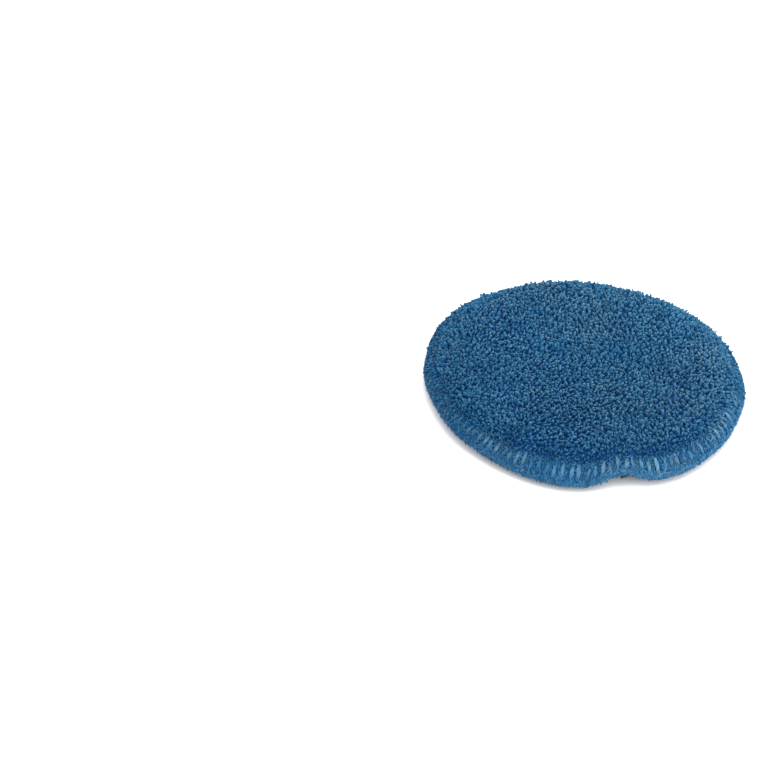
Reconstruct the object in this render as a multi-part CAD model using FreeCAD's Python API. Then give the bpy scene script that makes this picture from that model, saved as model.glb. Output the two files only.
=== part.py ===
import FreeCAD, Part
import math
import os

# A round applicator and polishing pad of looped microfibre cloth.
# A foam disc lies between two discs of terry cloth, and a three-thread overlock seam closes the
# rim. Each cloth is a knitted ground with a pile of yarn loops on its outer face.
# Millimetres, +Z up. The origin is on the resting surface, under the middle of the pad.

# Driving dimensions
PAD_DIAMETER = 127.0  # over the overlock threads
PAD_THICKNESS = 13.6  # over both piles
PILE_HEIGHT = 2.2
CLOTH_THICKNESS = 0.6
THREAD_DIAMETER = 0.6
THREAD_SIDES = 8  # the seam threads' sections are octagons
SEAM_BITE = 5.7  # from the pad's edge in to the needle line
STITCH_PITCH = 2.8
LOOPER_RUN = 3.4  # how far a looper thread runs in from its corners at the rim
SEAM_SLOPE = math.radians(36.0)  # the front cloth runs down to the rim at this angle
SHOULDER_RADIUS = 8.0  # of the front cloth, between the flat face and the slope
FRONT_FLAT_RADIUS = 51.0
BACK_FLAT_RADIUS = 54.0
RIM_RISE = 0.55  # the back cloth climbs this much from its flat to the rim
CLEARANCE = 0.05  # between neighbouring pieces

# The rounding of the piles' edges
FRONT_PILE_TURN = 0.7  # share of the seam slope at which the front pile's top ends
FRONT_PILE_EDGE_TURN = 1.15  # share of the seam slope at the middle of its rounded edge
FRONT_PILE_EDGE_HEIGHT = 0.75 * PILE_HEIGHT
BACK_PILE_ROUNDING = 0.6 * PILE_HEIGHT

# The seam's start and end, and the tail of chained thread left there
TAIL_ANGLE = math.radians(-76.5)
TAIL_SWEEP = math.radians(9.0)
TAIL_DIAMETER = 1.0
TAIL_HEIGHT = 1.3
TAIL_INSET = 2.2

# Derived dimensions
PAD_RADIUS = PAD_DIAMETER / 2
THREAD_RADIUS = THREAD_DIAMETER / 2
CLOTH_RADIUS = PAD_RADIUS - THREAD_DIAMETER - 2 * CLEARANCE
FOAM_RADIUS = CLOTH_RADIUS - CLOTH_THICKNESS
NEEDLE_RADIUS = PAD_RADIUS - SEAM_BITE
FRONT_CLOTH_TOP = PAD_THICKNESS - PILE_HEIGHT
BACK_CLOTH_BOTTOM = PILE_HEIGHT
SHOULDER_CENTRE_Z = FRONT_CLOTH_TOP - SHOULDER_RADIUS
STITCH_COUNT = round(2 * math.pi * NEEDLE_RADIUS / STITCH_PITCH)
STITCH_ANGLE = 2 * math.pi / STITCH_COUNT
LOOPER_HALF_ANGLE = math.atan2(PAD_RADIUS * math.sin(STITCH_ANGLE / 2), LOOPER_RUN)
MITRE_REACH = THREAD_RADIUS / math.sin(LOOPER_HALF_ANGLE)  # a mitred corner's own length
LOOPER_OUTER_RADIUS = PAD_RADIUS - MITRE_REACH
LOOPER_INNER_RADIUS = LOOPER_OUTER_RADIUS - LOOPER_RUN

UP = FreeCAD.Vector(0, 0, 1)
ORIGIN = FreeCAD.Vector(0, 0, 0)


def section_point(radius, height):
    """A point of the radial section, which lies in the XZ plane."""
    return FreeCAD.Vector(radius, 0, height)


def polar_point(radius, angle, height):
    """A point at a radius and an angle about the pad's axis."""
    return FreeCAD.Vector(radius * math.cos(angle), radius * math.sin(angle), height)


def shoulder_point(lift, angle):
    """A point of the front shoulder, lift above the cloth's outer face, at an angle from +Z."""
    radius = SHOULDER_RADIUS + lift
    return section_point(
        FRONT_FLAT_RADIUS + radius * math.sin(angle),
        SHOULDER_CENTRE_Z + radius * math.cos(angle),
    )


def slope_height(radius, lift):
    """The height of the front slope at a radius, lift above the cloth's outer face."""
    start = shoulder_point(lift, SEAM_SLOPE)
    return start.z - (radius - start.x) * math.tan(SEAM_SLOPE)


def back_height(radius, lift):
    """The height of the back cloth's outer face at a radius, moved up by lift."""
    climb = max(0.0, radius - BACK_FLAT_RADIUS) / (CLOTH_RADIUS - BACK_FLAT_RADIUS)
    return BACK_CLOTH_BOTTOM + lift + RIM_RISE * climb


def line(start, end):
    return Part.LineSegment(start, end).toShape()


def front_curve(lift, end_radius):
    """The front section from the axis out to end_radius: the flat, the shoulder, the slope."""
    flat_start = section_point(0, FRONT_CLOTH_TOP + lift)
    flat_end = section_point(FRONT_FLAT_RADIUS, FRONT_CLOTH_TOP + lift)
    shoulder_end = shoulder_point(lift, SEAM_SLOPE)
    shoulder = Part.Arc(flat_end, shoulder_point(lift, SEAM_SLOPE / 2), shoulder_end)
    slope_end = section_point(end_radius, slope_height(end_radius, lift))
    return [line(flat_start, flat_end), shoulder.toShape(), line(shoulder_end, slope_end)]


def back_curve(lift, end_radius):
    """The back section from the axis out to end_radius."""
    flat_start = section_point(0, back_height(0, lift))
    flat_end = section_point(BACK_FLAT_RADIUS, back_height(BACK_FLAT_RADIUS, lift))
    slope_end = section_point(end_radius, back_height(end_radius, lift))
    return [line(flat_start, flat_end), line(flat_end, slope_end)]


def turned(lower, upper, rim):
    """The solid made by turning the section between two curves about the pad's axis."""
    axis_low = lower[0].firstVertex(True).Point
    axis_high = upper[0].firstVertex(True).Point
    edges = lower + rim + upper + [line(axis_high, axis_low)]
    wire = Part.Wire(Part.__sortEdges__(edges))
    return Part.Face(wire).revolve(ORIGIN, UP, 360)


def straight_rim(lower, upper):
    """The section's outer end, straight from one curve's end to the other's."""
    return [line(lower[-1].lastVertex(True).Point, upper[-1].lastVertex(True).Point)]


def foam_core():
    """The foam disc, pressed thin where the seam holds its edge."""
    lower = back_curve(CLOTH_THICKNESS + CLEARANCE, FOAM_RADIUS)
    upper = front_curve(-CLOTH_THICKNESS - CLEARANCE, FOAM_RADIUS)
    return turned(lower, upper, straight_rim(lower, upper))


def front_ground_cloth():
    lower = front_curve(-CLOTH_THICKNESS, CLOTH_RADIUS)
    upper = front_curve(0, CLOTH_RADIUS)
    return turned(lower, upper, straight_rim(lower, upper))


def back_ground_cloth():
    lower = back_curve(0, CLOTH_RADIUS)
    upper = back_curve(CLOTH_THICKNESS, CLOTH_RADIUS)
    return turned(lower, upper, straight_rim(lower, upper))


def front_loop_pile():
    """The layer that the front loops fill, rounded off where it meets the needle line."""
    pile_edge = NEEDLE_RADIUS - THREAD_DIAMETER
    lower = front_curve(CLEARANCE, pile_edge)
    flat_start = section_point(0, PAD_THICKNESS)
    flat_end = section_point(FRONT_FLAT_RADIUS, PAD_THICKNESS)
    turn = SEAM_SLOPE * FRONT_PILE_TURN
    shoulder_end = shoulder_point(PILE_HEIGHT, turn)
    shoulder = Part.Arc(flat_end, shoulder_point(PILE_HEIGHT, turn / 2), shoulder_end)
    upper = [line(flat_start, flat_end), shoulder.toShape()]
    bulge = shoulder_point(FRONT_PILE_EDGE_HEIGHT, SEAM_SLOPE * FRONT_PILE_EDGE_TURN)
    rim = [Part.Arc(lower[-1].lastVertex(True).Point, bulge, shoulder_end).toShape()]
    return turned(lower, upper, rim)


def back_loop_pile():
    """The layer that the back loops fill. The pad rests on it."""
    corner = BACK_PILE_ROUNDING
    pile_edge = NEEDLE_RADIUS - 2 * THREAD_DIAMETER
    lower = [line(section_point(0, 0), section_point(pile_edge - corner, 0))]
    upper = back_curve(-CLEARANCE, pile_edge)
    corner_middle = section_point(
        pile_edge - corner * (1 - math.sin(math.pi / 4)),
        corner * (1 - math.cos(math.pi / 4)),
    )
    corner_end = section_point(pile_edge, corner)
    corner_arc = Part.Arc(section_point(pile_edge - corner, 0), corner_middle, corner_end)
    rim = [corner_arc.toShape(), line(corner_end, upper[-1].lastVertex(True).Point)]
    return turned(lower, upper, rim)


def thread_tube(path, thickness):
    """A round thread along a path of edges."""
    wire = Part.Wire(path)
    start = wire.Edges[0].firstVertex(True).Point
    tangent = wire.Edges[0].tangentAt(wire.Edges[0].FirstParameter)
    circle = Part.Wire(Part.makeCircle(thickness / 2, start, tangent))
    return wire.makePipeShell([circle], True, False)


def octagon_along(start, end, face_lean):
    """The thread's eight side lines between two corners, cut off by the corners' radial planes.

    A corner is (radius, angle, height). face_lean is the angle from +Z, outward, of the face that
    the thread lies on. Returns the points where the lines meet the plane at start.
    """
    start_point, end_point = polar_point(*start), polar_point(*end)
    along = (end_point - start_point).normalize()
    middle_angle = (start[1] + end[1]) / 2
    face_normal = polar_point(math.sin(face_lean), middle_angle, math.cos(face_lean))
    aside = along.cross(face_normal).normalize()
    upward = aside.cross(along)
    plane_normal = polar_point(1, start[1] + math.pi / 2, 0)
    points = []
    for k in range(THREAD_SIDES):
        turn = 2 * math.pi * (k + 0.5) / THREAD_SIDES
        offset = (upward * math.cos(turn) + aside * math.sin(turn)) * THREAD_RADIUS
        slide = plane_normal.dot(offset) / plane_normal.dot(along)
        points.append(start_point + offset - along * slide)
    return points


def closed_thread(corners, face_lean):
    """A thread that runs once round the pad in straight runs, mitred at each corner."""
    ends = corners[1:] + [(corners[0][0], corners[0][1] + 2 * math.pi, corners[0][2])]
    rings = [octagon_along(start, end, face_lean) for start, end in zip(corners, ends)]
    faces = []
    for ring, following in zip(rings, rings[1:] + rings[:1]):
        for k in range(THREAD_SIDES):
            j = (k + 1) % THREAD_SIDES
            outline = [ring[k], ring[j], following[j], following[k], ring[k]]
            faces.append(Part.Face(Part.makePolygon(outline)))
    shell = Part.makeShell(faces)
    shell.sewShape()
    solid = Part.makeSolid(shell)
    if solid.Volume < 0:
        solid.reverse()
    return solid


def looper_thread(height_at, face_lean):
    """A looper thread: in from the rim to the needle line and out again at each stitch."""
    corners = []
    for k in range(STITCH_COUNT):
        inner_angle = STITCH_ANGLE * k
        outer_angle = STITCH_ANGLE * (k + 0.5)
        corners.append((LOOPER_INNER_RADIUS, inner_angle, height_at(LOOPER_INNER_RADIUS)))
        corners.append((LOOPER_OUTER_RADIUS, outer_angle, height_at(LOOPER_OUTER_RADIUS)))
    return closed_thread(corners, face_lean)


def overlock_needle_thread():
    height = slope_height(NEEDLE_RADIUS, THREAD_RADIUS + CLEARANCE)
    corners = [(NEEDLE_RADIUS, STITCH_ANGLE * k, height) for k in range(STITCH_COUNT)]
    return closed_thread(corners, SEAM_SLOPE)


def overlock_upper_looper_thread():
    return looper_thread(
        lambda radius: slope_height(radius, THREAD_RADIUS + CLEARANCE), SEAM_SLOPE
    )


def overlock_lower_looper_thread():
    return looper_thread(lambda radius: back_height(radius, -THREAD_RADIUS - CLEARANCE), 0.0)


def overlock_chain_tail():
    """The short tail of chained thread under the rim, where the seam starts and ends."""
    start = polar_point(PAD_RADIUS - 2 * TAIL_INSET, TAIL_ANGLE - TAIL_SWEEP / 2, TAIL_HEIGHT)
    middle = polar_point(PAD_RADIUS - TAIL_INSET, TAIL_ANGLE, TAIL_HEIGHT - TAIL_DIAMETER / 3)
    end = polar_point(PAD_RADIUS - TAIL_DIAMETER, TAIL_ANGLE + TAIL_SWEEP / 2, TAIL_HEIGHT)
    return thread_tube([Part.Arc(start, middle, end).toShape()], TAIL_DIAMETER)


PIECES = [
    foam_core,
    front_ground_cloth,
    back_ground_cloth,
    front_loop_pile,
    back_loop_pile,
    overlock_needle_thread,
    overlock_upper_looper_thread,
    overlock_lower_looper_thread,
    overlock_chain_tail,
]

os.makedirs("parts", exist_ok=True)
for piece in PIECES:
    shape = piece()
    box = shape.BoundBox
    print(
        f"{piece.__name__}: {len(shape.Solids)} solid, valid {shape.isValid()}, "
        f"{shape.Volume / 1000:.3f} cm3, z {box.ZMin:.2f} to {box.ZMax:.2f}, "
        f"x {box.XMin:.2f} to {box.XMax:.2f}"
    )
    shape.exportStep(f"parts/{piece.__name__}.step")
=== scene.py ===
import math

import bpy
import numpy as np
from mathutils import Matrix, Vector


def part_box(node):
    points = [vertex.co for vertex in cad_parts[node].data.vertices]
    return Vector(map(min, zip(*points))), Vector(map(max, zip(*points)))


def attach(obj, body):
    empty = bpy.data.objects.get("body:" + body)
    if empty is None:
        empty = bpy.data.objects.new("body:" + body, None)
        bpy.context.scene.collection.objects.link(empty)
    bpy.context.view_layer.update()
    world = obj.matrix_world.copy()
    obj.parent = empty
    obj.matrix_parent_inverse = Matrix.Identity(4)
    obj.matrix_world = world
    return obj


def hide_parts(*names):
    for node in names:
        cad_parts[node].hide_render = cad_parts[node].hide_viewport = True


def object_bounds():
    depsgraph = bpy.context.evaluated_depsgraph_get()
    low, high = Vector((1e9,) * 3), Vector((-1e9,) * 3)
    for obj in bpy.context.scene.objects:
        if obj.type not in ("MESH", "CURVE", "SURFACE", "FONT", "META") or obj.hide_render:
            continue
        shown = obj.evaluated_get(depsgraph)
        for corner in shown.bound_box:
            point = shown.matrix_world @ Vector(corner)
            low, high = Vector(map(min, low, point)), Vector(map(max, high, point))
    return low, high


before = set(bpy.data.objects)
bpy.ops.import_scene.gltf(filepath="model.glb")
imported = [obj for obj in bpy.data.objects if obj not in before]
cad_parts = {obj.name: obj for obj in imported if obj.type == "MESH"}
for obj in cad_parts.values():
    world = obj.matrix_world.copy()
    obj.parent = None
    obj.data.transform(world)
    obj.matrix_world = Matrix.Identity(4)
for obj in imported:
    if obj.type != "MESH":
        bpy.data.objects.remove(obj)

cad_low, cad_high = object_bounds()
MM = 0.001

# ---------------------------------------------------------------- sizes from the frame
cloth_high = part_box("front_ground_cloth")[1]
back_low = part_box("back_ground_cloth")[0]
needle_low, needle_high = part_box("overlock_needle_thread")

PAD_RADIUS = (cad_high.x - cad_low.x) / 2
CLOTH_RADIUS = cloth_high.x
FRONT_Z = cloth_high.z  # the front cloth's outer face, on the flat
BACK_Z = back_low.z  # the back cloth's outer face, on the flat
PILE_HEIGHT = cad_high.z - cloth_high.z
NEEDLE_RADIUS = needle_high.x - (needle_high.z - needle_low.z) / 2
CLOTH_THICKNESS = 0.6 * MM
FOAM_INSET = 2.4 * MM

# The front section: a flat, a rounded shoulder and a slope down to the rim
SHOULDER_RADIUS = 8 * MM
SEAM_SLOPE = math.radians(36)
FRONT_FLAT = 51 * MM
SHOULDER_LENGTH = SHOULDER_RADIUS * SEAM_SLOPE
SHOULDER_END_R = FRONT_FLAT + SHOULDER_RADIUS * math.sin(SEAM_SLOPE)
FRONT_LENGTH = FRONT_FLAT + SHOULDER_LENGTH + (CLOTH_RADIUS - SHOULDER_END_R) / math.cos(SEAM_SLOPE)
NEEDLE_LENGTH = FRONT_LENGTH - (CLOTH_RADIUS - NEEDLE_RADIUS) / math.cos(SEAM_SLOPE)
BACK_FLAT = 54 * MM
BACK_RISE = 0.55 * MM

# The overlock seam
STITCH_COUNT = 130
STITCH = 2 * math.pi / STITCH_COUNT
TAIL_ANGLE = math.radians(-76.5)

rng = np.random.default_rng(365)


# ---------------------------------------------------------------- the pad's form
def waves(phi, terms):
    """A sum of waves round the pad, each given as (turns, size, phase)."""
    return sum(size * np.cos(turns * phi + phase) for turns, size, phase in terms)


def apart(phi, centre):
    """The angle between two directions, from 0 to pi."""
    return np.abs((phi - centre + np.pi) % (2 * np.pi) - np.pi)


def near(phi, centre, width):
    """1 at an angle, falling to 0 over a width on each side."""
    return np.exp(-((apart(phi, centre) / width) ** 2))


OUTLINE = [(2, 0.74, 2.87), (3, 0.30, 2.1), (5, 0.22, 0.4), (8, 0.12, 1.0), (13, 0.10, 2.5)]
RIM_LIFT = [(1, 0.35, 2.4), (2, 0.35, 0.2), (3, 0.25, 1.1), (7, 0.15, 0.3), (11, 0.10, 1.9)]
NOTCH_ANGLE = math.radians(-80)
NOTCH_WIDTH = 0.125
DROOP_ANGLE = math.radians(-107)  # beside the notch the rim hangs lower and further out
DROOP_WIDTH = 0.28
# Where the rim stands out of the round or is drawn in, as (degrees round, width, size)
RIM_CORNERS = [
    (30, 0.33, 1.7),
    (78, 0.26, -1.1),
    (142, 0.36, 1.9),
    (205, 0.25, -0.8),
    (272, 0.14, -0.6),
    (303, 0.16, 0.7),
    (338, 0.20, -0.4),
]
DISH = 0.7

# The cloth simulation of the front cover, on a polar grid, at ten times the real size
SIM_SCALE = 10
SIM_RINGS = 34
SIM_SPOKES = 144
SIM_FRAMES = 20
SEWN_MARGIN = 1 * MM  # the cover is held from this far inside the needle line outward
COVER_SPARE = 0.035  # the cover is cut larger than its place by this share
CROWN_LIMIT = 1.1 * MM  # the foam lets the cover rise this far, and pucker by RIPPLE_LIMIT
RIPPLE_LIMIT = 0.5 * MM
bulge_table = np.zeros((SIM_RINGS + 1, SIM_SPOKES))


def shaped(r, z, phi):
    """The soft, uneven form that sewing gives the pad, from a true turned section."""
    share = r / CLOTH_RADIUS
    notch = near(phi, NOTCH_ANGLE, NOTCH_WIDTH)
    droop = near(phi, DROOP_ANGLE, DROOP_WIDTH)
    corners = sum(size * near(phi, math.radians(at), width) for at, width, size in RIM_CORNERS)
    outline = waves(phi, OUTLINE) + corners - 2.7 * notch + 1.9 * droop
    lift = waves(phi, RIM_LIFT) + 0.3 + 2.8 * notch - 0.7 * droop
    r = r + outline * MM * share**3
    z = z + lift * MM * share**5 - DISH * MM * np.cos(share * np.pi / 2) ** 2
    return r, z


def bulge(s, phi):
    """How far the simulated cover stands out of its pattern, between the grid's points."""
    ring = np.clip(s / FRONT_LENGTH, 0, 1) * SIM_RINGS
    spoke = (phi % (2 * np.pi)) / (2 * np.pi) * SIM_SPOKES
    low_ring = np.minimum(ring.astype(int), SIM_RINGS - 1)
    low_spoke = spoke.astype(int) % SIM_SPOKES
    high_spoke = (low_spoke + 1) % SIM_SPOKES
    out, round_ = ring - low_ring, spoke - np.floor(spoke)
    inner = bulge_table[low_ring, low_spoke] * (1 - round_) + bulge_table[low_ring, high_spoke] * round_
    outer = (
        bulge_table[low_ring + 1, low_spoke] * (1 - round_)
        + bulge_table[low_ring + 1, high_spoke] * round_
    )
    return inner * (1 - out) + outer * out


def front_surface(x, y):
    """The front cloth's outer face, by distances x and y along the cloth from its middle."""
    s, phi = np.hypot(x, y), np.arctan2(y, x)
    turn = np.clip((s - FRONT_FLAT) / SHOULDER_RADIUS, 0, SEAM_SLOPE)
    past = np.maximum(s - FRONT_FLAT - SHOULDER_LENGTH, 0)
    r = np.minimum(s, FRONT_FLAT) + SHOULDER_RADIUS * np.sin(turn) + past * math.cos(SEAM_SLOPE)
    z = FRONT_Z - SHOULDER_RADIUS * (1 - np.cos(turn)) - past * math.sin(SEAM_SLOPE)
    r, z = shaped(r, z + bulge(s, phi), phi)
    return np.stack([r * np.cos(phi), r * np.sin(phi), z], -1)


def back_surface(x, y):
    """The back cloth's outer face, by distances x and y along the cloth from its middle."""
    s, phi = np.hypot(x, y), np.arctan2(y, x)
    z = BACK_Z + BACK_RISE * np.maximum(0, s - BACK_FLAT) / (CLOTH_RADIUS - BACK_FLAT)
    share = s / CLOTH_RADIUS
    r, lifted = shaped(s, z, phi)
    lifted = lifted + DISH * MM * np.cos(share * np.pi / 2) ** 2
    return np.stack([r * np.cos(phi), r * np.sin(phi), lifted], -1)


def surface_frame(surface, x, y, side):
    """Points of a surface with their outward normals and two tangents. side is 1 or -1."""
    step = 0.1 * MM
    point = surface(x, y)
    along_x = surface(x + step, y) - surface(x - step, y)
    along_y = surface(x, y + step) - surface(x, y - step)
    normal = unit(np.cross(along_x, along_y)) * side
    tangent = unit(along_x - normal * dot(along_x, normal))
    return point, normal, tangent, np.cross(normal, tangent)


# ---------------------------------------------------------------- mesh building
def unit(v):
    """Vectors of length 1."""
    return v / np.maximum(np.linalg.norm(v, axis=-1, keepdims=True), 1e-12)


def dot(a, b):
    """Dot products by row, kept as a column."""
    return np.sum(a * b, axis=-1, keepdims=True)


def make_mesh(name, points, groups, values=None, uv=None):
    """An object from points and arrays of faces. values are floats by point, by name."""
    corners = np.concatenate([g.ravel() for g in groups])
    totals = np.concatenate([np.full(len(g), g.shape[1]) for g in groups])
    mesh = bpy.data.meshes.new(name)
    mesh.vertices.add(len(points))
    mesh.vertices.foreach_set("co", np.ascontiguousarray(points, np.float32).ravel())
    mesh.loops.add(len(corners))
    mesh.loops.foreach_set("vertex_index", corners.astype(np.int32))
    mesh.polygons.add(len(totals))
    mesh.polygons.foreach_set("loop_start", (np.cumsum(totals) - totals).astype(np.int32))
    mesh.polygons.foreach_set("loop_total", totals.astype(np.int32))
    mesh.polygons.foreach_set("use_smooth", np.ones(len(totals), bool))
    for key, by_point in (values or {}).items():
        layer = mesh.attributes.new(key, "FLOAT", "POINT")
        layer.data.foreach_set("value", np.ascontiguousarray(by_point, np.float32))
    if uv is not None:
        layer = mesh.uv_layers.new(name="yarn")
        layer.uv.foreach_set("vector", np.ascontiguousarray(uv[corners], np.float32).ravel())
    mesh.update(calc_edges=True)
    mesh.validate()
    piece = bpy.data.objects.new(name, mesh)
    bpy.context.scene.collection.objects.link(piece)
    return piece


def tubes(paths, radii, sides):
    """Round tubes along paths (tube, step, xyz). Returns points, faces and uv."""
    count, steps, _ = paths.shape
    tangent = np.empty_like(paths)
    tangent[:, 1:-1] = paths[:, 2:] - paths[:, :-2]
    tangent[:, 0] = paths[:, 1] - paths[:, 0]
    tangent[:, -1] = paths[:, -1] - paths[:, -2]
    tangent = unit(tangent)
    across = np.empty_like(paths)
    helper = np.where(np.abs(tangent[:, 0, 2:3]) < 0.9, [[0, 0, 1.0]], [[1.0, 0, 0]])
    across[:, 0] = unit(np.cross(tangent[:, 0], helper))
    for k in range(1, steps):
        carried = across[:, k - 1]
        across[:, k] = unit(carried - tangent[:, k] * dot(carried, tangent[:, k]))
    other = np.cross(tangent, across)
    angle = 2 * np.pi * np.arange(sides) / sides
    ring = (
        across[:, :, None] * np.cos(angle)[:, None] + other[:, :, None] * np.sin(angle)[:, None]
    )
    points = paths[:, :, None] + ring * radii[:, :, None, None]
    index = np.arange(count * steps * sides).reshape(count, steps, sides)
    turned = np.roll(index, -1, axis=2)
    quads = np.stack(
        [index[:, :-1], turned[:, :-1], turned[:, 1:], index[:, 1:]], -1
    ).reshape(-1, 4)
    caps = np.concatenate([index[:, 0, ::-1], index[:, -1]])
    length = np.cumsum(np.linalg.norm(np.diff(paths, axis=1), axis=-1), axis=1)
    length = np.concatenate([np.zeros((count, 1)), length], 1) / MM
    uv = np.empty((count, steps, sides, 2))
    uv[..., 0] = length[:, :, None]
    uv[..., 1] = angle / (2 * np.pi)
    return points.reshape(-1, 3), [quads, caps], uv.reshape(-1, 2)


# ---------------------------------------------------------------- the cover, blown up by its foam
def simulate_cover():
    """Heights of the front cover when it is sewn round the foam, from a cloth simulation. The
    cover is cut a little too large for its seam, so it crowns and puckers along the needle line."""
    share = np.arange(1, SIM_RINGS + 1)[:, None] / SIM_RINGS
    phi = 2 * np.pi * np.arange(SIM_SPOKES)[None] / SIM_SPOKES
    s = share * FRONT_LENGTH
    start = front_surface((s * np.cos(phi)).ravel(), (s * np.sin(phi)).ravel())
    start = np.concatenate([front_surface(np.zeros(1), np.zeros(1)), start])
    grid = 1 + np.arange(SIM_RINGS * SIM_SPOKES).reshape(SIM_RINGS, SIM_SPOKES)
    right = np.roll(grid, -1, 1)
    quads = np.stack([grid[:-1], grid[1:], right[1:], right[:-1]], -1).reshape(-1, 4)
    fan = np.stack([np.zeros(SIM_SPOKES, int), grid[0], right[0]], -1)
    cover = make_mesh("cover_pattern", start * SIM_SCALE, [quads, fan])
    held = cover.vertex_groups.new(name="sewn")
    past_needle = (s > NEEDLE_LENGTH - SEWN_MARGIN) * np.ones((1, SIM_SPOKES), bool)
    held.add([int(i) for i in grid[past_needle]], 1.0, "REPLACE")
    cloth = cover.modifiers.new("cloth", "CLOTH")
    cloth.settings.vertex_group_mass = "sewn"
    cloth.settings.quality = 6
    cloth.settings.mass = 0.3
    cloth.settings.tension_stiffness = 18
    cloth.settings.compression_stiffness = 18
    cloth.settings.bending_stiffness = 0.6
    cloth.settings.shrink_min = -COVER_SPARE
    cloth.settings.use_pressure = True
    cloth.settings.uniform_pressure_force = 4
    cloth.settings.effector_weights.gravity = 0
    cloth.point_cache.frame_end = SIM_FRAMES
    for number in range(1, SIM_FRAMES + 1):
        bpy.context.scene.frame_set(number)
    moved = cover.evaluated_get(bpy.context.evaluated_depsgraph_get()).data
    places = np.empty(len(moved.vertices) * 3, np.float32)
    moved.vertices.foreach_get("co", places)
    places = places.reshape(-1, 3) / SIM_SCALE
    bpy.data.objects.remove(cover)
    bpy.context.scene.frame_set(1)
    rise = places[:, 2] - start[:, 2]
    hub = np.full((1, SIM_SPOKES), rise[0])
    rise = np.concatenate([hub, rise[1:].reshape(SIM_RINGS, SIM_SPOKES)])
    crown = rise.mean(axis=1, keepdims=True)
    ripple = np.clip(rise - crown, -RIPPLE_LIMIT, RIPPLE_LIMIT)
    return CROWN_LIMIT * np.tanh(2.5 * crown / crown.max()) + ripple


# ---------------------------------------------------------------- loops of the pile
LATTICE = np.array([[2.35, -0.95], [1.05, 2.35]]) * 0.90 * MM  # the knit's two steps
LATTICE_LEAST = 1.8 * MM  # less than the lattice's spacing in any direction
TIP_DISTANCES = np.array([0.0, 0.10, 0.30, 0.62, 1.10, 1.75, 2.6])  # mm, of a leg's points
LEG_HEIGHT = 2.15 * MM  # the loop height that TIP_DISTANCES are for
LEG_STEPS = 24  # steps in which a leg's lean is summed up
HALF_GAP = 0.27 * MM  # from a loop's middle to its legs
ROOT_DEPTH = 0.25 * MM  # the loops start this far under the cloth's face
LOOP_SIDES = 5
LOOP_TWIST = 2.7
TALLER_SHARE = 0.06  # of the loops, which stand higher by TALLER_BY
TALLER_BY = 0.45
PRESSED_REACH = 8 * MM  # the seam presses down the loops this far in from the needle line
BRUSHED_SCALE = 11 * MM  # the loops' lean wanders over about this distance
SEAM_SHOWS_AT = math.radians(-80)  # the seam shows bare round this direction
SEAM_SHOWS_WITHIN = 0.85


def lattice_points(reach, shift, jitter):
    """Points on the knit's skewed lattice, shaken, within reach of the middle."""
    n = int(reach / LATTICE_LEAST) + 2
    i, j = np.meshgrid(np.arange(-n, n + 1), np.arange(-n, n + 1), indexing="ij")
    spots = (i.reshape(-1, 1) + shift) * LATTICE[0] + (j.reshape(-1, 1) + shift) * LATTICE[1]
    spots = spots + rng.normal(0, jitter, spots.shape)
    return spots[np.hypot(spots[:, 0], spots[:, 1]) < reach]


def brushed_direction(x, y):
    """The way the loops lean, an angle that wanders slowly over the cloth."""
    u, v = x / BRUSHED_SCALE, y / BRUSHED_SCALE
    wander = np.sin(u + 1.3 * np.sin(0.7 * v)) + np.sin(0.8 * v + 0.9 * np.sin(1.1 * u + 2))
    return 0.9 + 0.75 * wander


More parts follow.
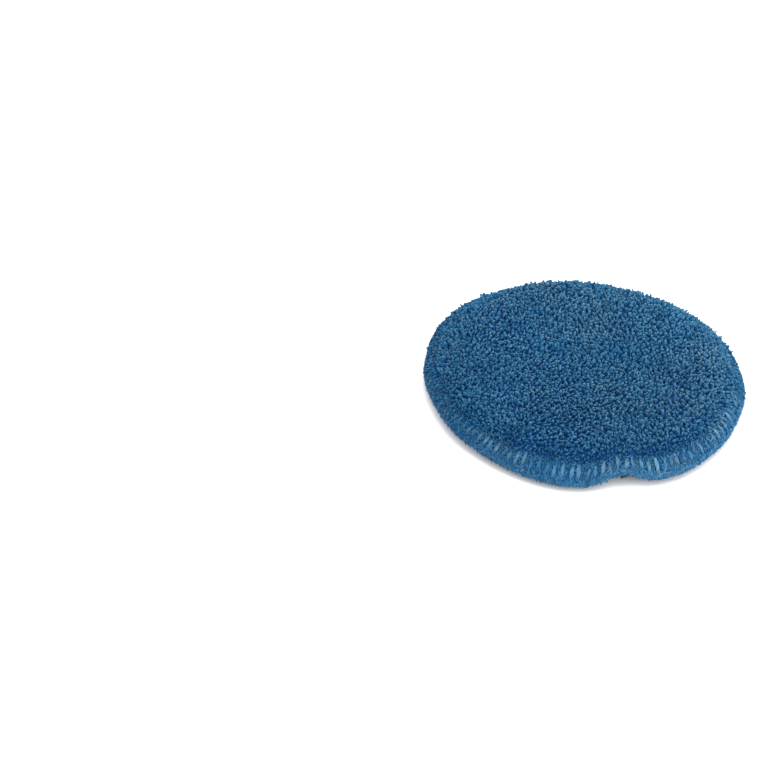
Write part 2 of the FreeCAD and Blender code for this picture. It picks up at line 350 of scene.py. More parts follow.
def loop_paths(surface, side, spots, way, height, lean_by, twist_by):
    """Hairpins of yarn that stand on a surface: up one leg, round the tip, down the other. Returns
    their paths, how near each point is to the tip and how far the seam presses each loop down."""
    count = len(spots)
    x, y = spots[:, 0], spots[:, 1]
    root, normal, tangent, other = surface_frame(surface, x, y, side)
    way = way + rng.normal(0, 0.40, count)
    lean_to = tangent * np.cos(way)[:, None] + other * np.sin(way)[:, None]
    uneven = rng.normal(0, 0.14, count)
    size = height * (1 + uneven + TALLER_BY * (rng.random(count) < TALLER_SHARE))
    away = apart(np.arctan2(y, x), -math.pi / 2)
    pressed = np.clip((np.hypot(x, y) - NEEDLE_LENGTH) / PRESSED_REACH + 1, 0, 1)
    pressed = pressed * np.clip(1.25 - away / 1.4, 0.15, 1)
    pressed = pressed * (1 + rng.normal(0, 0.12, count))
    size = size * (1 - 0.5 * pressed**1.5)
    lean = lean_by * (1 + rng.normal(0, 0.22, count)) + 0.35 * pressed
    lean_to = unit(lean_to + 1.2 * pressed[:, None] * (root - (0, 0, 1) * root) / PAD_RADIUS)
    twist = twist_by * rng.choice([-1, 1], count, p=[0.25, 0.75]) * rng.uniform(0.5, 1.3, count)
    start = rng.uniform(0, np.pi, count)
    sideways = np.cross(normal, lean_to)
    half_gap = HALF_GAP * (1 + rng.normal(0, 0.14, count))
    scale = size / LEG_HEIGHT
    from_tip = TIP_DISTANCES[None] * MM * scale[:, None]
    total = from_tip[:, -1:]
    up = 1 - from_tip / total  # 0 at the root, 1 at the tip
    fine = np.linspace(0, 1, LEG_STEPS)
    angle = lean[:, None] * fine[None] ** 1.1
    rise = np.concatenate([np.zeros((count, 1)), np.cumsum(np.cos(angle[:, 1:]), 1)], 1)
    reach = np.concatenate([np.zeros((count, 1)), np.cumsum(np.sin(angle[:, 1:]), 1)], 1)
    rise, reach = rise * total / (LEG_STEPS - 1), reach * total / (LEG_STEPS - 1)

    def at(table):
        """A summed table's value at each point of the legs."""
        spot = up * (LEG_STEPS - 1)
        low = np.clip(spot.astype(int), 0, LEG_STEPS - 2)
        share = spot - low
        rows = np.arange(count)[:, None]
        return table[rows, low] * (1 - share) + table[rows, low + 1] * share

    bend = lean[:, None] * up**1.1
    middle = (
        root[:, None]
        + normal[:, None] * (at(rise) - ROOT_DEPTH)[..., None]
        + lean_to[:, None] * at(reach)[..., None]
    )
    out = normal[:, None] * -np.sin(bend)[..., None] + lean_to[:, None] * np.cos(bend)[..., None]
    turn = start[:, None] + twist[:, None] * up
    aside = sideways[:, None] * np.cos(turn)[..., None] + out * np.sin(turn)[..., None]
    rounded = np.clip(from_tip / (1.15 * half_gap[:, None]), 0, 1)
    gap = half_gap[:, None] * np.sqrt(1 - (1 - rounded) ** 2) * (0.72 + 0.42 * up**2)
    left = middle + aside * gap[..., None]
    right = middle - aside * gap[..., None]
    paths = np.concatenate([right[:, :0:-1], left], 1)
    tip = np.concatenate([up[:, :0:-1], up], 1)
    return paths, tip, np.clip(pressed, 0, 1)[:, None]


def covered(phi):
    """How far the pile hides the seam: 0 where it shows bare, 1 round the rest of the pad."""
    return np.clip((apart(phi, SEAM_SHOWS_AT) - SEAM_SHOWS_WITHIN) / 0.5, 0, 1)


def field(reach, shifts, jitter, hole=0):
    """Loops all over a face, outside a hole: where they stand and the way they lean."""
    spots = np.concatenate([lattice_points(reach, shift, jitter) for shift in shifts])
    spots = spots[np.hypot(spots[:, 0], spots[:, 1]) > hole]
    return spots, brushed_direction(spots[:, 0], spots[:, 1])


def seam_loops():
    """Loops caught under the seam. They are few in front, where the seam shows."""
    reach = FRONT_LENGTH - 1.6 * MM
    spots = np.concatenate([lattice_points(reach, k / 3, 0.5 * MM) for k in range(3)])
    s, phi = np.hypot(spots[:, 0], spots[:, 1]), np.arctan2(spots[:, 1], spots[:, 0])
    share = 0.08 + 0.87 * covered(phi)
    kept = (s > NEEDLE_LENGTH + 0.3 * MM) & (rng.random(len(s)) < share)
    return spots[kept], phi[kept]


def loop_strips(name, side, spots, way, height, lean, yarn, strips):
    """A field of loops on the front (side 1) or the back (side -1), made as strips of about as many
    loops each. way is where they lean."""
    surface = front_surface if side > 0 else back_surface
    node = "front_loop_pile" if side > 0 else "back_loop_pile"
    paths, tip, pressed = loop_paths(surface, side, spots, way, height, lean, LOOP_TWIST)
    girth = yarn * (1 + rng.normal(0, 0.10, (len(paths), 1))) * (1 - 0.18 * pressed)
    radii = girth * (0.78 + 0.30 * tip**0.7)
    # pressed loops get less of the painted tip highlight
    tip = tip * (1 - 0.13 * pressed)
    if side < 0:
        paths[..., 2] = np.maximum(paths[..., 2], radii)
    order = np.argsort(spots[:, 1])
    for number, chosen in enumerate(np.array_split(order, strips), 1):
        points, faces, uv = tubes(paths[chosen], radii[chosen], LOOP_SIDES)
        tips = np.repeat(tip[chosen].reshape(-1), LOOP_SIDES)
        piece = make_mesh(f"{name}_{number}", points, faces, {"tip": tips}, uv)
        finish_piece(piece, LOOP_YARN, "loop_yarn", node)


# ---------------------------------------------------------------- the rim and its seam
RIM_CLEARANCE = 0.45 * MM  # the rim's threads stay this far over the floor
RIM_ROUNDNESS = 2.2  # how strongly the threads stand outward between the two cut edges


def rim_point(turn, phi, lift):
    """A point over the seam band. turn runs over the section: 0 at the needle line in front, 1 at
    the front cloth's edge, 2 at the back cloth's edge and 3 at the needle line behind."""
    front_s = NEEDLE_LENGTH + np.clip(turn, -1, 1) * (FRONT_LENGTH - NEEDLE_LENGTH)
    back_s = CLOTH_RADIUS - np.clip(turn - 2, 0, 3) * (CLOTH_RADIUS - NEEDLE_RADIUS)
    cos, sin = np.cos(phi), np.sin(phi)
    front, front_out, _, _ = surface_frame(front_surface, front_s * cos, front_s * sin, 1)
    back, back_out, _, _ = surface_frame(back_surface, back_s * cos, back_s * sin, -1)
    share = np.clip(turn - 1, 0, 1)[..., None]
    outward = np.stack([cos, sin, 0 * cos], -1)
    round_ = RIM_ROUNDNESS * outward * np.sin(np.pi * share)
    away = unit(front_out * (1 - share) + back_out * share + round_)
    middle = front * (1 - share) + back * share
    point = middle + away * lift[..., None]
    point[..., 2] = np.maximum(point[..., 2], RIM_CLEARANCE)
    return point


def smooth_path(controls, substeps):
    """Rows of controls joined by a Catmull-Rom curve, with substeps rows for each."""
    before = np.concatenate([controls[:1], controls[:-2]])
    start, end = controls[:-1], controls[1:]
    after = np.concatenate([controls[2:], controls[-1:]])
    t = np.linspace(0, 1, substeps, endpoint=False)[None, :, None]
    p0, p1, p2, p3 = (p[:, None] for p in (before, start, end, after))
    rows = 0.5 * (
        2 * p1
        + (p2 - p0) * t
        + (2 * p0 - 5 * p1 + 4 * p2 - p3) * t**2
        + (3 * p1 - p0 - 3 * p2 + p3) * t**3
    )
    return rows.reshape(-1, controls.shape[1])


PLY_SIDES = 6


def plied_thread(name, path, girth, shade, plies, turn_length):
    """A thread of twisted plies along one path. girth is its radius and shade its tip value."""
    tangent = unit(np.gradient(path, axis=0))
    across = np.empty_like(path)
    across[0] = unit(np.cross(tangent[0], [0.3, 0.2, 1.0]))
    for k in range(1, len(path)):
        carried = across[k - 1] - tangent[k] * np.dot(across[k - 1], tangent[k])
        across[k] = carried / np.linalg.norm(carried)
    other = np.cross(tangent, across)
    length = np.concatenate([[0], np.cumsum(np.linalg.norm(np.diff(path, axis=0), axis=1))])
    strands = []
    for k in range(plies):
        angle = 2 * np.pi * (length / turn_length + k / plies)
        offset = across * np.cos(angle)[:, None] + other * np.sin(angle)[:, None]
        strands.append(path + offset * (girth * 0.5)[:, None])
    radii = np.repeat((girth * 0.56)[None], plies, 0)
    points, faces, uv = tubes(np.stack(strands), radii, PLY_SIDES)
    tip = np.tile(np.repeat(shade, PLY_SIDES), plies)
    return make_mesh(name, points, faces, {"tip": tip}, uv)


# One stitch of a looper thread. Columns: share of a stitch along the seam, turn over the
# section, lift over the cloth and thread radius, the last two in mm.
LOOPER_STITCH = [
    (-0.50, 1.50, 0.00, 0.20),
    (-0.34, 1.08, -0.10, 0.20),
    (-0.07, 0.84, 0.10, 0.27),
    (-0.09, 0.48, 0.68, 0.48),
    (-0.03, 0.12, 0.36, 0.33),
    (0.03, 0.10, 0.36, 0.33),
    (0.09, 0.48, 0.68, 0.48),
    (0.07, 0.84, 0.10, 0.27),
    (0.34, 1.08, -0.10, 0.20),
]
SEAM_OVERLAP = 4  # stitches sewn twice where the seam closes
SECOND_LIFT = 0.35  # mm by which they lie over the first ones
PALEST_SHADE = 0.945  # the palest stitch, and how much darker the darkest one is
SHADE_SPREAD = 0.27
BURIED_THINNER = 0.35  # what the pile's cover takes off a stitch's fullness and its shade value; the darkening is painted shade under the pile
BURIED_DARKER = 0.10
# One stitch of the needle thread: share of a stitch along the seam and lift over the cloth in mm
NEEDLE_STITCH = [(0.0, -0.5), (0.12, -0.05), (0.5, 0.02), (0.88, -0.05)]


def looper_path(mirrored):
    """A looper thread's path with its radius and its shade, which differs from stitch to stitch."""
    rows = []
    for k in range(STITCH_COUNT + SEAM_OVERLAP):
        slant = rng.normal(0.16, 0.16)
        reach = rng.normal(0, 0.10)
        fullness = np.clip(rng.normal(0.98, 0.20), 0.55, 1.35)
        shade = PALEST_SHADE - SHADE_SPREAD * rng.random() ** 1.6
        doubled = SECOND_LIFT if k >= STITCH_COUNT else 0.0
        buried = 0 if mirrored else covered(TAIL_ANGLE + STITCH * k)
        fullness = fullness * (1 - BURIED_THINNER * buried)
        # painted shade on stitches that the pile covers
        shade = shade - BURIED_DARKER * buried
        for along, turn, lift, girth in LOOPER_STITCH:
            inner = 1 - min(abs(turn), 1)
            phi = TAIL_ANGLE + STITCH * (k + along + slant * inner + rng.normal(0, 0.02))
            over = turn - reach * inner
            raised = lift * fullness + doubled + rng.normal(0, 0.03)
            rows.append((phi, 3 - over if mirrored else over, raised, girth * fullness, shade))
    rows = smooth_path(np.array(rows), 3)
    path = rim_point(rows[:, 1], rows[:, 0], rows[:, 2] * MM)
    return path, rows[:, 3] * MM, rows[:, 4]


def needle_path():
    """The needle thread's path, which dips through the cloths once in each stitch."""
    rows = []
    for k in range(STITCH_COUNT + SEAM_OVERLAP):
        for along, lift in NEEDLE_STITCH:
            phi = TAIL_ANGLE + STITCH * (k + along)
            rows.append((phi, rng.normal(0.0, 0.02), lift + rng.normal(0, 0.05)))
    rows = smooth_path(np.array(rows), 4)
    return rim_point(rows[:, 1], rows[:, 0], rows[:, 2] * MM)


TUFT_SIDES = 4
FILAMENT_RADIUS = 0.035 * MM


def lying_tufts(name, count, turns, length, yarn, spread, rise):
    """Short ends of loop yarn pressed down on the seam band, pointing out over the rim."""
    turn = rng.uniform(*turns, count)
    phi = rng.uniform(0, 2 * np.pi, count)
    way = rng.normal(0, spread, count)
    reach = length * rng.uniform(0.65, 1.35, count)
    band = FRONT_LENGTH - NEEDLE_LENGTH
    steps = 6
    share = np.linspace(0, 1, steps)[None]
    lift = (0.05 + rise * rng.uniform(0.3, 1.8, (count, 1)) * np.sin(np.pi * share * 0.8)) * MM
    heading = np.where(turn < 1.5, 1, -1)
    turns_at = turn[:, None] + (heading * reach * np.cos(way) / band)[:, None] * share
    phis_at = phi[:, None] + (reach * np.sin(way) / CLOTH_RADIUS)[:, None] * share
    paths = rim_point(turns_at, phis_at, lift)
    radii = yarn * (0.55 + 0.45 * np.sin(np.pi * np.clip(share + 0.1, 0, 1))) * np.ones((count, 1))
    points, faces, uv = tubes(paths, radii, TUFT_SIDES)
    tip = np.repeat((np.ones((count, 1)) * (0.45 + 0.5 * share)).reshape(-1), TUFT_SIDES)
    return make_mesh(name, points, faces, {"tip": tip}, uv)


def stray_filaments(name, count, length):
    """Fine filaments that stand out of the pile and curl over it."""
    s = FRONT_LENGTH * np.sqrt(rng.random(count))
    phi = rng.uniform(0, 2 * np.pi, count)
    root, normal, tangent, other = surface_frame(front_surface, s * np.cos(phi), s * np.sin(phi), 1)
    way = rng.uniform(0, 2 * np.pi, count)
    heading = tangent * np.cos(way)[:, None] + other * np.sin(way)[:, None]
    share = np.linspace(0, 1, 6)[None, :, None]
    reach = length * rng.uniform(0.5, 1.5, (count, 1, 1))
    curl = rng.uniform(0.4, 2.6, (count, 1, 1))
    sunk = np.where(s < NEEDLE_LENGTH, 0.5, 0.1)[:, None, None] * PILE_HEIGHT
    paths = root[:, None] + normal[:, None] * (sunk + reach * np.sin(curl * share) / curl)
    paths = paths + heading[:, None] * reach * (1 - np.cos(curl * share)) / curl
    radii = FILAMENT_RADIUS * (1 - 0.5 * share[..., 0]) * np.ones((count, 1))
    points, faces, uv = tubes(paths, radii, 3)
    return make_mesh(name, points, faces, {"tip": np.full(len(points), 0.9)}, uv)


def edge_tufts(name, count, length, yarn):
    """Cut yarn ends that stand out from the raw edges between the stitches."""
    turn = rng.uniform(0.9, 2.1, count)
    phi = rng.uniform(0, 2 * np.pi, count)
    steps = 5
    share = np.linspace(0, 1, steps)[None]
    reach = (length * rng.uniform(0.4, 1.3, count))[:, None]
    phis_at = phi[:, None] + rng.normal(0, 0.010, (count, 1)) * share
    turns_at = turn[:, None] + rng.normal(0.10, 0.25, (count, 1)) * share
    paths = rim_point(turns_at, phis_at, reach * share - 0.2 * MM)
    radii = yarn * (1 - 0.5 * share) * np.ones((count, 1))
    points, faces, uv = tubes(paths, radii, TUFT_SIDES)
    tip = np.repeat((np.ones((count, 1)) * share).reshape(-1), TUFT_SIDES) * 0.9
    return make_mesh(name, points, faces, {"tip": tip}, uv)


# ---------------------------------------------------------------- materials
LIGHT_FALL_REACH = 55 * MM  # painted light and shade: the tint changes from the shaded low to the lit high over this far each side of the middle
PILE_LIGHT_FALL = (0.6, 0.8, 0)  # the directions in which the painted light rises
RIM_LIGHT_FALL = (0.9, -0.43, 0)

# Ramps as (position, colour). The first tints a loop from its root to its tip: dark at the root,
# painted shade deep in the pile, and pale and grey at the tip, a painted highlight
ROOT_TO_TIP = [
    (0.1, (0.03, 0.61, 1.0)),
    (0.62, (0.24, 0.83, 1.03)),
    (0.93, (1.85, 1.30, 1.15)),
    (1.0, (3.9, 1.66, 1.32)),
]
PATCHES = [(0.3, (0.74, 0.79, 0.84)), (0.7, (1.04, 1.04, 1.04))]
WORN_PATCHES = [(0.35, (0.85, 0.98, 1.02)), (0.68, (1.30, 1.03, 0.97))]
FLECKS = [(0.3, (0.78, 0.80, 0.83)), (0.75, (1.12, 1.10, 1.08))]
# the pores' darkness is painted shade in the foam's holes
FOAM_PORE_SHADE = [(0.15, (0.30, 0.28, 0.22)), (0.5, (0.80, 0.78, 0.70))]
FOAM_YELLOWING = [(0.3, (1.0, 0.96, 0.86)), (0.7, (1.0, 1.0, 1.0))]


def node_material(name):
    """A new node material, with its tree and its shader."""
    material = bpy.data.materials.new(name)
    material.use_nodes = True
    tree = material.node_tree
    shader = tree.nodes["Principled BSDF"]
    return material, tree, shader


def add(tree, kind, **settings):
    """A new node with its settings."""
    node = tree.nodes.new(kind)
    for key, value in settings.items():
        setattr(node, key, value)
    return node


def ramp(tree, source, stops):
    """A colour ramp fed by source. stops are (position, colour)."""
    node = add(tree, "ShaderNodeValToRGB")
    elements = node.color_ramp.elements
    while len(elements) < len(stops):
        elements.new(0.5)
    for element, (position, colour) in zip(elements, stops):
        element.position = position
        element.color = (*colour, 1)
    tree.links.new(source, node.inputs["Fac"])
    return node.outputs["Color"]


def noise(tree, coordinates, scale, detail=2.0, rough=0.5):
    """A noise value from 0 to 1 over the coordinates."""
    node = add(tree, "ShaderNodeTexNoise")
    node.inputs["Scale"].default_value = scale
    node.inputs["Detail"].default_value = detail
    node.inputs["Roughness"].default_value = rough
    tree.links.new(coordinates, node.inputs["Vector"])
    return node.outputs["Fac"]


def mixed(tree, blend, share, first, second):
    """Two colours mixed. Each of them, and the share, is a value or a node's output."""
    node = add(tree, "ShaderNodeMix", data_type="RGBA", blend_type=blend)
    if isinstance(share, (int, float)):
        node.inputs["Factor"].default_value = share
    else:
        tree.links.new(share, node.inputs["Factor"])
    for socket, value in (("A", first), ("B", second)):
        target = [i for i in node.inputs if i.name == socket and i.type == "RGBA"][0]
        if isinstance(value, tuple):
            target.default_value = (*value, 1)
        else:
            tree.links.new(value, target)
    return [o for o in node.outputs if o.type == "RGBA"][0]


def bumped(tree, shader, height, distance, strength=1.0):
    """Relief on the shader, from a height."""
    node = add(tree, "ShaderNodeBump")
    node.inputs["Distance"].default_value = distance
    node.inputs["Strength"].default_value = strength
    tree.links.new(height, node.inputs["Height"])
    tree.links.new(node.outputs["Normal"], shader.inputs["Normal"])


def yarn_material(name, dark, middle, light, across, low, high):
    """Twisted fuzzy yarn: shade by strand, darker at the roots, which is painted shade, and paler at
    the tips, which is a painted highlight, with fine filaments round it. Painted light and shade tint
    it over the pad, from the shaded low to the lit high in the direction across."""
    material, tree, shader = node_material(name)
    place = add(tree, "ShaderNodeTexCoord").outputs["Object"]
    strand = add(tree, "ShaderNodeNewGeometry").outputs["Random Per Island"]
    shade = ramp(tree, strand, [(0.0, dark), (0.55, middle), (1.0, light)])
    patchy = ramp(tree, noise(tree, place, 90.0, 3.0), PATCHES)
    base = mixed(tree, "MULTIPLY", 1.0, shade, patchy)
    worn = ramp(tree, noise(tree, place, 38.0, 2.0), WORN_PATCHES)
    base = mixed(tree, "MULTIPLY", 1.0, base, worn)
    # Painted light and shade: the yarn is tinted from low, painted shade, to high, painted light, in
    # the direction across
    along = add(tree, "ShaderNodeVectorMath", operation="DOT_PRODUCT")
    along.inputs[1].default_value = across
    tree.links.new(place, along.inputs[0])
    lit_share = add(tree, "ShaderNodeMapRange")
    lit_share.inputs["From Min"].default_value = -LIGHT_FALL_REACH
    lit_share.inputs["From Max"].default_value = LIGHT_FALL_REACH
    tree.links.new(along.outputs["Value"], lit_share.inputs["Value"])
    tint = ramp(tree, lit_share.outputs["Result"], [(0.0, low), (1.0, high)])
    base = mixed(tree, "MULTIPLY", 1.0, base, tint)
    tip = add(tree, "ShaderNodeAttribute", attribute_name="tip").outputs["Fac"]
    # painted shade at the roots and a painted highlight at the tips, by the tip value
    pale = ramp(tree, tip, ROOT_TO_TIP)
    base = mixed(tree, "MULTIPLY", 1.0, base, pale)
    around = add(tree, "ShaderNodeUVMap", uv_map="yarn").outputs["UV"]
    mapping = add(tree, "ShaderNodeMapping")
    mapping.inputs["Rotation"].default_value = (0, 0, 0.45)
    mapping.inputs["Scale"].default_value = (1.4, 9.0, 1.0)
    tree.links.new(around, mapping.inputs["Vector"])
    fibres = noise(tree, mapping.outputs["Vector"], 3.0, 3.0, 0.6)
    flecks = ramp(tree, fibres, FLECKS)
    base = mixed(tree, "MULTIPLY", 0.8, base, flecks)
    tree.links.new(base, shader.inputs["Base Color"])
    rough = ramp(tree, fibres, [(0.0, (0.78,) * 3), (1.0, (0.98,) * 3)])
    tree.links.new(rough, shader.inputs["Roughness"])
    shader.inputs["Sheen Weight"].default_value = 0.06
    shader.inputs["Sheen Roughness"].default_value = 0.45
    shader.inputs["Sheen Tint"].default_value = (0.5, 0.8, 1.0, 1)
    shader.inputs["Specular IOR Level"].default_value = 0.08
    bumped(tree, shader, fibres, 0.00012, 0.8)
    return material


def knit_material(name, dark, light, seam):
    """The close knitted ground under the loops, dark under the pile, which is painted shade, and
    brighter over the seam band.
    """
    material, tree, shader = node_material(name)
    place = add(tree, "ShaderNodeTexCoord").outputs["Object"]
    wave = add(tree, "ShaderNodeTexWave", wave_type="BANDS", bands_direction="X")
    wave.inputs["Scale"].default_value = 320.0
    wave.inputs["Distortion"].default_value = 3.0
    wave.inputs["Detail"].default_value = 2.0
    tree.links.new(place, wave.inputs["Vector"])
    grain = noise(tree, place, 2200.0, 3.0)
    both = mixed(tree, "MULTIPLY", 0.7, wave.outputs["Color"], grain)
    colour = ramp(tree, both, [(0.1, dark), (0.8, light)])
    # the same cloth is paler over the seam band; its darker colours under the pile are painted shade
    band = add(tree, "ShaderNodeAttribute", attribute_name="band").outputs["Fac"]
    colour = mixed(tree, "MIX", band, colour, ramp(tree, both, [(0.1, light), (0.8, seam)]))
    tree.links.new(colour, shader.inputs["Base Color"])
    shader.inputs["Roughness"].default_value = 0.95
    shader.inputs["Specular IOR Level"].default_value = 0.1
    bumped(tree, shader, both, 0.0002)
    return material


def foam_material():
    """Open-cell foam: small round pores, darkened as painted shade, in a pale body that yellows in
    patches.
    """
    material, tree, shader = node_material("open_cell_foam")
    place = add(tree, "ShaderNodeTexCoord").outputs["Object"]
    cells = add(tree, "ShaderNodeTexVoronoi", feature="F1")
    cells.inputs["Scale"].default_value = 1500.0
    tree.links.new(place, cells.inputs["Vector"])
    # painted shade in the pores
    pores = ramp(tree, cells.outputs["Distance"], FOAM_PORE_SHADE)
    patches = ramp(tree, noise(tree, place, 60.0), FOAM_YELLOWING)
    colour = mixed(tree, "MULTIPLY", 1.0, pores, patches)
    tree.links.new(colour, shader.inputs["Base Color"])
    shader.inputs["Roughness"].default_value = 0.95
    bumped(tree, shader, cells.outputs["Distance"], 0.0003)
    return material


def floor_material():
    """A plain white studio floor, with faint clouds."""
    material, tree, shader = node_material("studio_floor")
    place = add(tree, "ShaderNodeTexCoord").outputs["Object"]
    cloudy = noise(tree, place, 6.0, 2.0)
    colour = ramp(tree, cloudy, [(0.3, (0.94, 0.94, 0.94)), (0.7, (0.96, 0.96, 0.96))])
    tree.links.new(colour, shader.inputs["Base Color"])
    shader.inputs["Roughness"].default_value = 0.9
    shader.inputs["Specular IOR Level"].default_value = 0.1
    return material


def finish_piece(piece, material, slot, *nodes):
    """Gives a piece its material and its body, and hides the CAD nodes it stands for. slot is not used.
    """
    piece.data.materials.append(material)
    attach(piece, "root")
    if nodes:
        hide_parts(*nodes)


# ---------------------------------------------------------------- camera, light and floor
CAMERA_DISTANCE = 0.74
CAMERA_ELEVATION = math.radians(37.5)
CAMERA_ROLL = math.radians(1.5)
CAMERA_LENS = 87.4  # mm, on a sensor 36 mm wide
CAMERA_AIM = (-78.6 * MM, 0, -1.5 * MM)  # beside the pad, which stands right of the middle

WORLD_STRENGTH = 1.45
FLOOR_SIDE = 24.0


def make_camera():
    """The photograph's view of the pad."""
    data = bpy.data.cameras.new("camera")
    data.sensor_width = 36
    data.lens = CAMERA_LENS
    camera = bpy.data.objects.new("camera", data)
    bpy.context.scene.collection.objects.link(camera)
    bpy.context.scene.camera = camera
    back = Vector((0, -math.cos(CAMERA_ELEVATION), math.sin(CAMERA_ELEVATION)))
    spin = back.to_track_quat("Z", "Y").to_matrix() @ Matrix.Rotation(CAMERA_ROLL, 3, "Z")
    place = Vector(CAMERA_AIM) + back * CAMERA_DISTANCE
    camera.matrix_world = Matrix.Translation(place) @ spin.to_4x4()


def area_light(name, place, size, power, target=(0, 0, 0)):
    """A round soft light that faces its target."""
    data = bpy.data.lights.new(name, "AREA")
    data.shape = "DISK"
    data.size = size
    data.energy = power
    lamp = bpy.data.objects.new(name, data)
    bpy.context.scene.collection.objects.link(lamp)
    lamp.location = place
    lamp.rotation_euler = (Vector(target) - Vector(place)).to_track_quat("-Z", "Y").to_euler()


def make_studio():
    """White surroundings, two soft lights and the floor."""
    world = bpy.data.worlds.new("studio")
    bpy.context.scene.world = world
    world.use_nodes = True
    background = world.node_tree.nodes["Background"]
    background.inputs["Color"].default_value = (1, 1, 1, 1)
    background.inputs["Strength"].default_value = WORLD_STRENGTH
    area_light("key", (0.22, 0.12, 1.1), 1.3, 10.4)
    area_light("fill", (0.7, -0.8, 0.5), 1.0, 4.2)
    corners = np.array([[-1, -1, 0], [1, -1, 0], [1, 1, 0], [-1, 1, 0]]) * FLOOR_SIDE / 2
    floor = make_mesh("floor", corners, [np.array([[0, 1, 2, 3]])])
    floor.data.materials.append(floor_material())
    bpy.context.scene.view_settings.view_transform = "Standard"


# ---------------------------------------------------------------- cloths, foam and chain tail
def ring_faces(rings, spokes, first):
    """Faces of a polar grid whose points start at first, with its hub after them. Returns the
    outer ring, the same ring one point on, the quads and the fan round the hub."""
    grid = first + np.arange(rings * spokes).reshape(rings, spokes)
    right = np.roll(grid, -1, 1)
    quads = np.stack([grid[:-1], grid[1:], right[1:], right[:-1]], -1).reshape(-1, 4)
    hub = np.full(spokes, first + rings * spokes)
    return grid[-1], right[-1], quads, np.stack([hub, grid[0], right[0]], -1)


def polar_points(reach, rings, spokes):
    """The x and y of a polar grid's points, with the hub last."""
    s = np.arange(1, rings + 1)[:, None] / rings * reach
    phi = 2 * np.pi * np.arange(spokes)[None] / spokes
    return np.append(s * np.cos(phi), 0), np.append(s * np.sin(phi), 0)


def closed_disc(name, upper, lower, rings, spokes):
    """A closed disc between two faces, each given as points of a polar grid and its hub. Its band
    value is 1 over the seam."""
    rim, rim_right, quads, fan = ring_faces(rings, spokes, 0)
    low_rim, low_right, low_quads, low_fan = ring_faces(rings, spokes, len(upper))
    side = np.stack([rim, low_rim, low_right, rim_right], -1)
    faces = [quads, fan, side, low_quads[:, ::-1], low_fan[:, ::-1]]
    points = np.concatenate([upper, lower])
    band = np.clip((np.hypot(points[:, 0], points[:, 1]) - NEEDLE_RADIUS) / MM, 0, 1)
    return make_mesh(name, points, faces, {"band": band})


def cloth_piece(name, surface, side, reach):
    """A disc of ground cloth: its outer face, its inner face and the cut edge between."""
    rings, spokes = 60, 240
    outer, normal, _, _ = surface_frame(surface, *polar_points(reach, rings, spokes), side)
    inner = outer - normal * CLOTH_THICKNESS
    faces = (outer, inner) if side > 0 else (inner, outer)
    return closed_disc(name, *faces, rings, spokes)


def foam_piece():
    """The foam between the cloths: as crowned as they are, and pinched thin at the seam."""
    rings, spokes = 50, 200
    gap = CLOTH_THICKNESS + 0.05 * MM
    x, y = polar_points(FRONT_LENGTH - FOAM_INSET, rings, spokes)
    top, up, _, _ = surface_frame(front_surface, x, y, 1)
    x, y = polar_points(CLOTH_RADIUS - FOAM_INSET, rings, spokes)
    bottom, down, _, _ = surface_frame(back_surface, x, y, -1)
    return closed_disc("foam_pad", top - up * gap, bottom - down * gap, rings, spokes)


CHAINED_THREADS = 3
TAIL_STRANDS = 17  # the chained threads and the filaments that fray out of them
TAIL_STEPS = 26
CHAIN_TURNS = 5
CHAIN_RADIUS = 0.26 * MM
TAIL_SHOWS = 0.36  # the share of the tail's own length that stands free of the seam


def tail_piece():
    """The seam's cut end: a short chain of three threads that comes apart into frayed ends."""
    low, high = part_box("overlock_chain_tail")
    length = high.x - low.x
    out = np.array([math.cos(TAIL_ANGLE), math.sin(TAIL_ANGLE), 0])
    along = np.array([out[1], -out[0], 0])
    root = rim_point(np.array([1.9]), np.array([TAIL_ANGLE - 0.02]), np.array([0.2 * MM]))[0]
    share = np.linspace(0, 1, TAIL_STEPS)
    strands, radii = [], []
    for k in range(TAIL_STRANDS):
        chained = k < CHAINED_THREADS
        start = 0.0 if chained else rng.uniform(0.25, 0.7)
        part = start + (rng.uniform(0.8, 1.0) - start) * share
        turn = 2 * np.pi * (CHAIN_TURNS * part + k / CHAINED_THREADS)
        loosened = np.clip((part - 0.45) / 0.55, 0, 1) ** 1.4
        round_ = CHAIN_RADIUS * (1 - loosened)
        path = root + part[:, None] * along * length * TAIL_SHOWS
        path = path + out * (round_ * np.cos(turn) + 0.4 * MM * np.sin(2.6 * part))[:, None]
        path = path + (0, 0, 1) * (round_ * np.sin(turn) - 0.8 * MM * part**1.5)[:, None]
        stray = rng.normal(0, 1, 3) * (0.9, 0.9, 0.6) * (0.3 if chained else 0.8) * MM
        path = path + loosened[:, None] * stray
        path[:, 2] = np.maximum(path[:, 2], RIM_CLEARANCE)
        strands.append(path)
        radii.append(np.full(TAIL_STEPS, (0.22 if chained else 0.10) * MM) * (1 - 0.4 * share))
    points, faces, uv = tubes(np.stack(strands), np.stack(radii), PLY_SIDES)
    return make_mesh("chain_tail", points, faces, {"tip": np.full(len(points), 0.6)}, uv)


# ---------------------------------------------------------------- make everything
make_camera()
make_studio()
bulge_table[:] = simulate_cover()

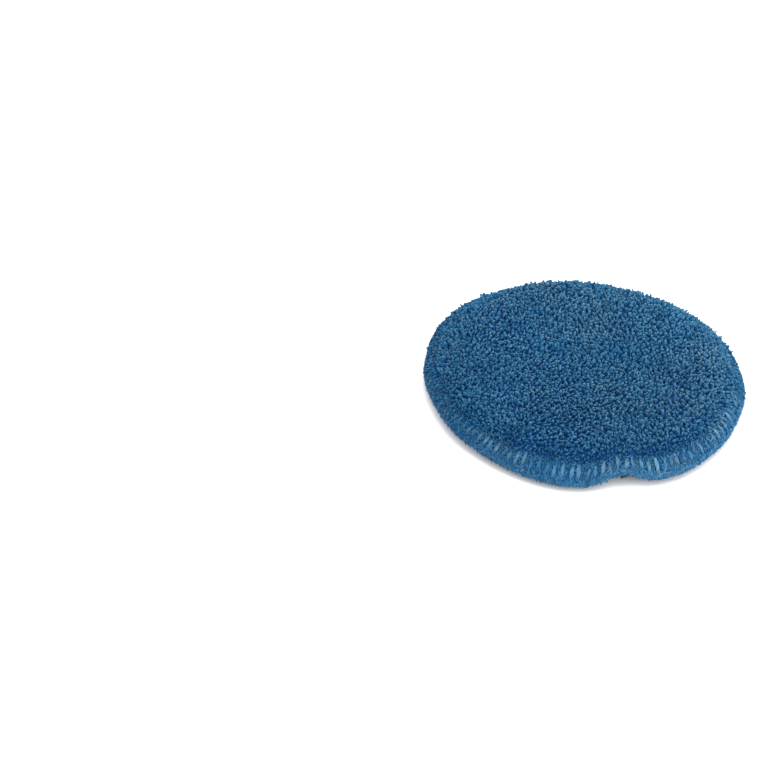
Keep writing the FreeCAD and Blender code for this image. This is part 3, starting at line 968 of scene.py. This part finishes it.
# In each yarn below, low and high are the painted shade and painted light across the pad
LOOP_YARN = yarn_material(
    "loop_yarn",
    dark=(0.0108, 0.085, 0.193),
    middle=(0.0188, 0.116, 0.234),
    light=(0.0385, 0.155, 0.275),
    across=PILE_LIGHT_FALL,
    low=(0.64, 0.80, 0.88),
    high=(1.04, 1.06, 1.03),
)
RIM_YARN = yarn_material(
    "rim_yarn",
    dark=(0.018, 0.100, 0.218),
    middle=(0.037, 0.150, 0.280),
    light=(0.088, 0.224, 0.345),
    across=RIM_LIGHT_FALL,
    low=(0.75, 0.75, 0.77),
    high=(1.44, 1.24, 1.17),
)
THREAD = yarn_material(
    "seam_thread",
    dark=(0.022, 0.106, 0.210),
    middle=(0.037, 0.141, 0.256),
    light=(0.057, 0.177, 0.290),
    across=RIM_LIGHT_FALL,
    low=(0.80, 0.80, 0.82),
    high=(1.35, 1.22, 1.15),
)
# The tail's near-black colour is painted shade under the lifted rim at the notch
TAIL_THREAD = yarn_material(
    "tail_thread",
    dark=(0.03, 0.05, 0.06),
    middle=(0.05, 0.08, 0.10),
    light=(0.08, 0.12, 0.15),
    across=RIM_LIGHT_FALL,
    low=(1, 1, 1),
    high=(1, 1, 1),
)
# The ground's first two colours are the cloth under the pile, darkened as painted shade; the third is
# the same cloth over the seam band
GROUND = knit_material("ground_knit", (0.002, 0.036, 0.13), (0.006, 0.064, 0.19), (0.036, 0.15, 0.31))

piece = cloth_piece("front_ground", front_surface, 1, FRONT_LENGTH)
finish_piece(piece, GROUND, "ground_cloth", "front_ground_cloth")
piece = cloth_piece("back_ground", back_surface, -1, CLOTH_RADIUS)
finish_piece(piece, GROUND, "ground_cloth", "back_ground_cloth")
piece = foam_piece()
finish_piece(piece, foam_material(), "foam", "foam_core")

# Loops in mm: name, lattice shifts, jitter, hole's radius, height, lean, yarn radius, strips
FRONT_LOOPS = [
    ("front_tall_loops", (0,), 0.40, 0, 1.95, 0.78, 0.28, 2),
    ("front_low_loops", (1 / 3, 2 / 3), 0.40, 0, 1.45, 0.7, 0.265, 3),
    ("front_short_loops", (5 / 6,), 0.45, 0, 1.35, 0.55, 0.25, 2),
    ("front_shoulder_loops", (1 / 6, 3 / 6), 0.45, 48, 1.5, 0.7, 0.265, 1),
]
BACK_LOOPS = [
    ("back_tall_loops", (0,), 0.45, 0, 2.2, 1.2, 0.28, 2),
    ("back_low_loops", (1 / 3, 2 / 3), 0.45, 0, 1.8, 1.1, 0.29, 3),
]


def make_loops(rows, side, pile_reach):
    """The fields of loops of one face, out to a distance from its middle."""
    for name, shifts, jitter, hole, height, lean, yarn, strips in rows:
        spots, way = field(pile_reach, shifts, jitter * MM, hole * MM)
        loop_strips(name, side, spots, way, height * MM, lean, yarn * MM, strips)


make_loops(FRONT_LOOPS, 1, NEEDLE_LENGTH - 0.2 * MM)
loop_strips("front_seam_loops", 1, *seam_loops(), 1.6 * MM, 1.1, 0.26 * MM, 1)
make_loops(BACK_LOOPS, -1, NEEDLE_RADIUS - 0.3 * MM)

piece = plied_thread("upper_looper_thread", *looper_path(False), 3, 2.6 * MM)
finish_piece(piece, THREAD, "seam_thread", "overlock_upper_looper_thread")
piece = plied_thread("lower_looper_thread", *looper_path(True), 3, 2.6 * MM)
finish_piece(piece, THREAD, "seam_thread", "overlock_lower_looper_thread")
path = needle_path()
girth, shade = np.full(len(path), 0.14 * MM), np.full(len(path), 0.4)
piece = plied_thread("needle_thread", path, girth, shade, 2, 1.6 * MM)
finish_piece(piece, RIM_YARN, "seam_thread", "overlock_needle_thread")
finish_piece(tail_piece(), TAIL_THREAD, "seam_thread", "overlock_chain_tail")

piece = lying_tufts("front_rim_yarn", 4400, (-0.15, 1.15), 1.5 * MM, 0.20 * MM, 1.0, 0.58)
finish_piece(piece, RIM_YARN, "loop_yarn", "front_loop_pile")
piece = lying_tufts("front_rim_curls", 1000, (-0.10, 0.75), 1.3 * MM, 0.16 * MM, 1.7, 0.95)
finish_piece(piece, THREAD, "loop_yarn", "front_loop_pile")
piece = lying_tufts("back_rim_yarn", 2400, (1.9, 2.95), 1.7 * MM, 0.19 * MM, 0.5, 0.36)
finish_piece(piece, RIM_YARN, "loop_yarn", "back_loop_pile")
piece = stray_filaments("front_filaments", 6000, 1.7 * MM)
finish_piece(piece, LOOP_YARN, "loop_yarn", "front_loop_pile")
piece = lying_tufts("rim_edge_yarn", 2600, (0.70, 1.45), 3.2 * MM, 0.21 * MM, 0.55, 0.42)
finish_piece(piece, RIM_YARN, "loop_yarn", "front_loop_pile")
piece = edge_tufts("rim_cut_ends", 3200, 1.1 * MM, 0.17 * MM)
finish_piece(piece, RIM_YARN, "loop_yarn")
